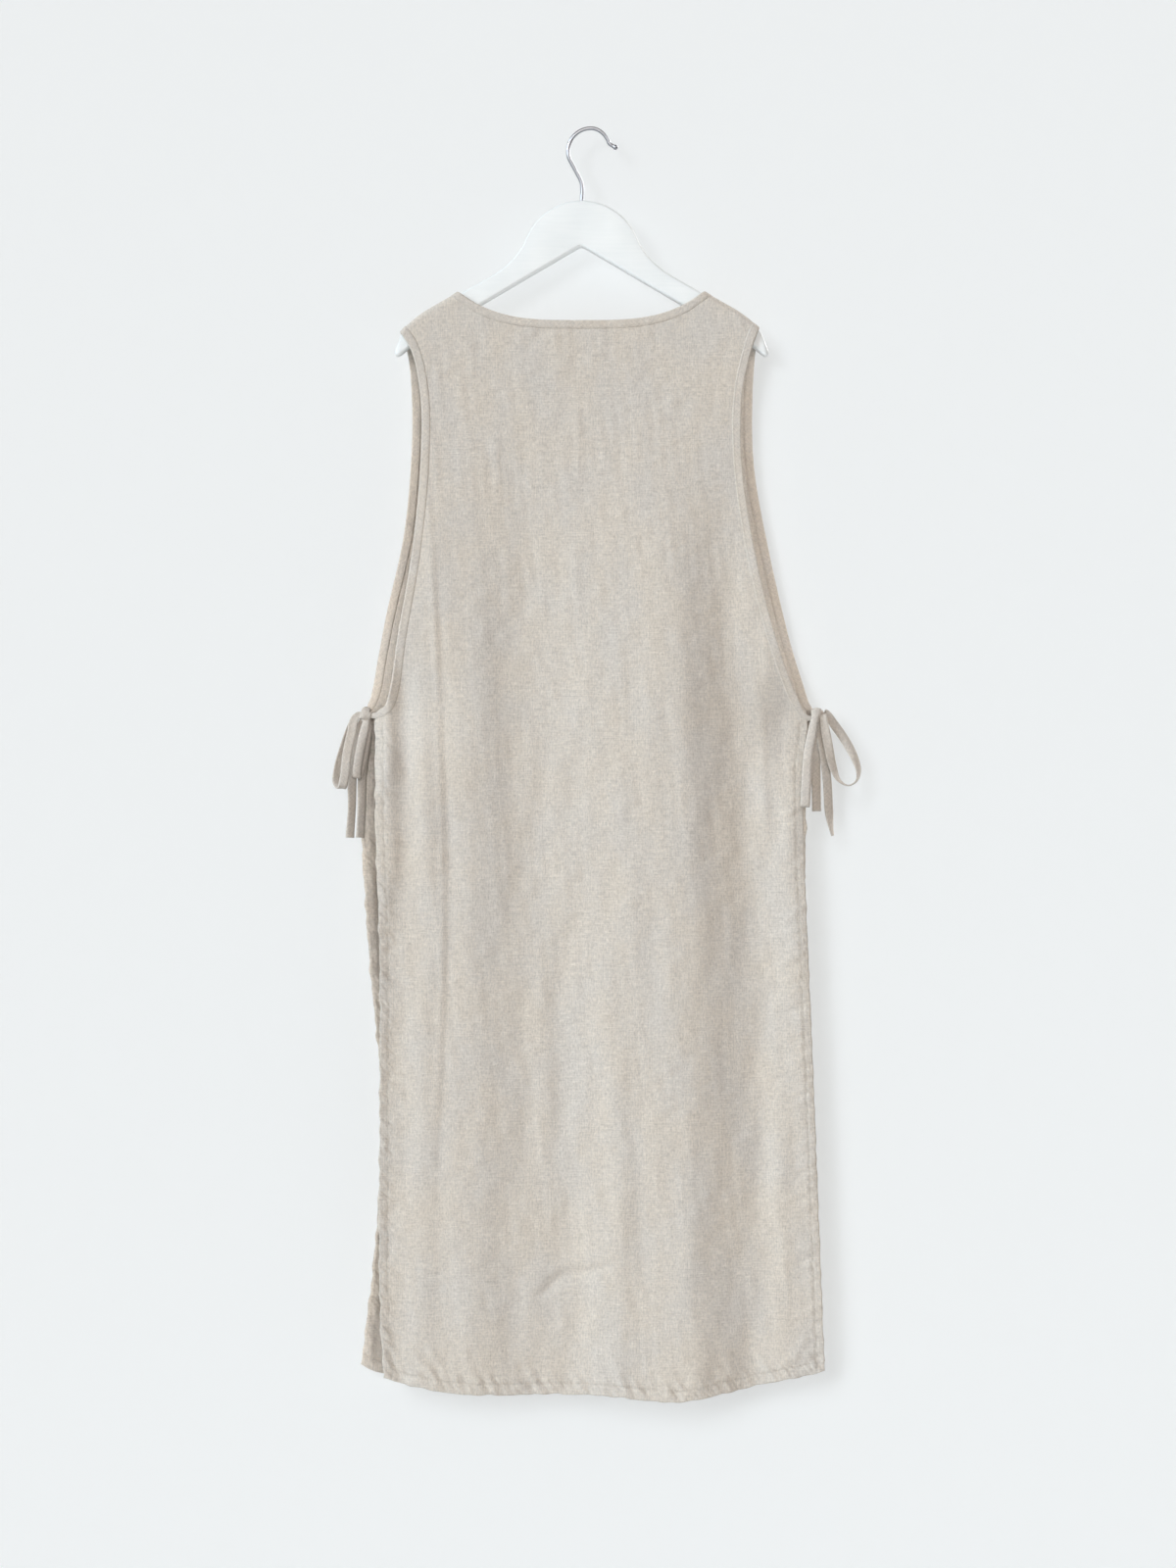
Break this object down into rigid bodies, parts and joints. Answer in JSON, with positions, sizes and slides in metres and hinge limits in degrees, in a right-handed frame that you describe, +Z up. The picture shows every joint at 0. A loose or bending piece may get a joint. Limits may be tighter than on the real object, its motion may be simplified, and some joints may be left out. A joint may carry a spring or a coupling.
{
  "type": "linen work apron on a wooden clothes hanger",
  "caption": "Sleeveless linen tabard apron with bound neck and armholes, open sides tied in bows, hanging by its shoulders on a white wooden hanger with a wire hook.",
  "frame": {"origin": "underside of the hook's top, where a peg carries the hanger", "axes": "+Z up, +X to the right as seen facing the apron's back, +Y from the back panel towards the front panel"},
  "size_m": [0.5409, 0.0587, 1.3006],
  "materials": {
    "linen": "plain woven washed natural linen",
    "linen_binding": "bias cut linen strip, folded and topstitched",
    "hanger_paint": "white satin paint on wood",
    "hook_steel": "bright plated wire"
  },
  "bodies": {
    "root": {"hanger_body": "hanger_paint", "hanger_hook": "hook_steel", "back_panel": "linen", "back_neck_binding": "linen_binding", "back_left_armhole_binding": "linen_binding", "back_right_armhole_binding": "linen_binding", "front_panel": "linen", "front_neck_binding": "linen_binding", "front_left_armhole_binding": "linen_binding", "front_right_armhole_binding": "linen_binding", "left_knot": "linen_binding", "right_knot": "linen_binding", "left_back_loop": "linen_binding", "left_front_loop": "linen_binding", "left_back_tail": "linen_binding", "left_front_tail": "linen_binding", "right_back_loop": "linen_binding", "right_front_loop": "linen_binding", "right_back_tail": "linen_binding", "right_front_tail": "linen_binding"}
  },
  "joints": []
}
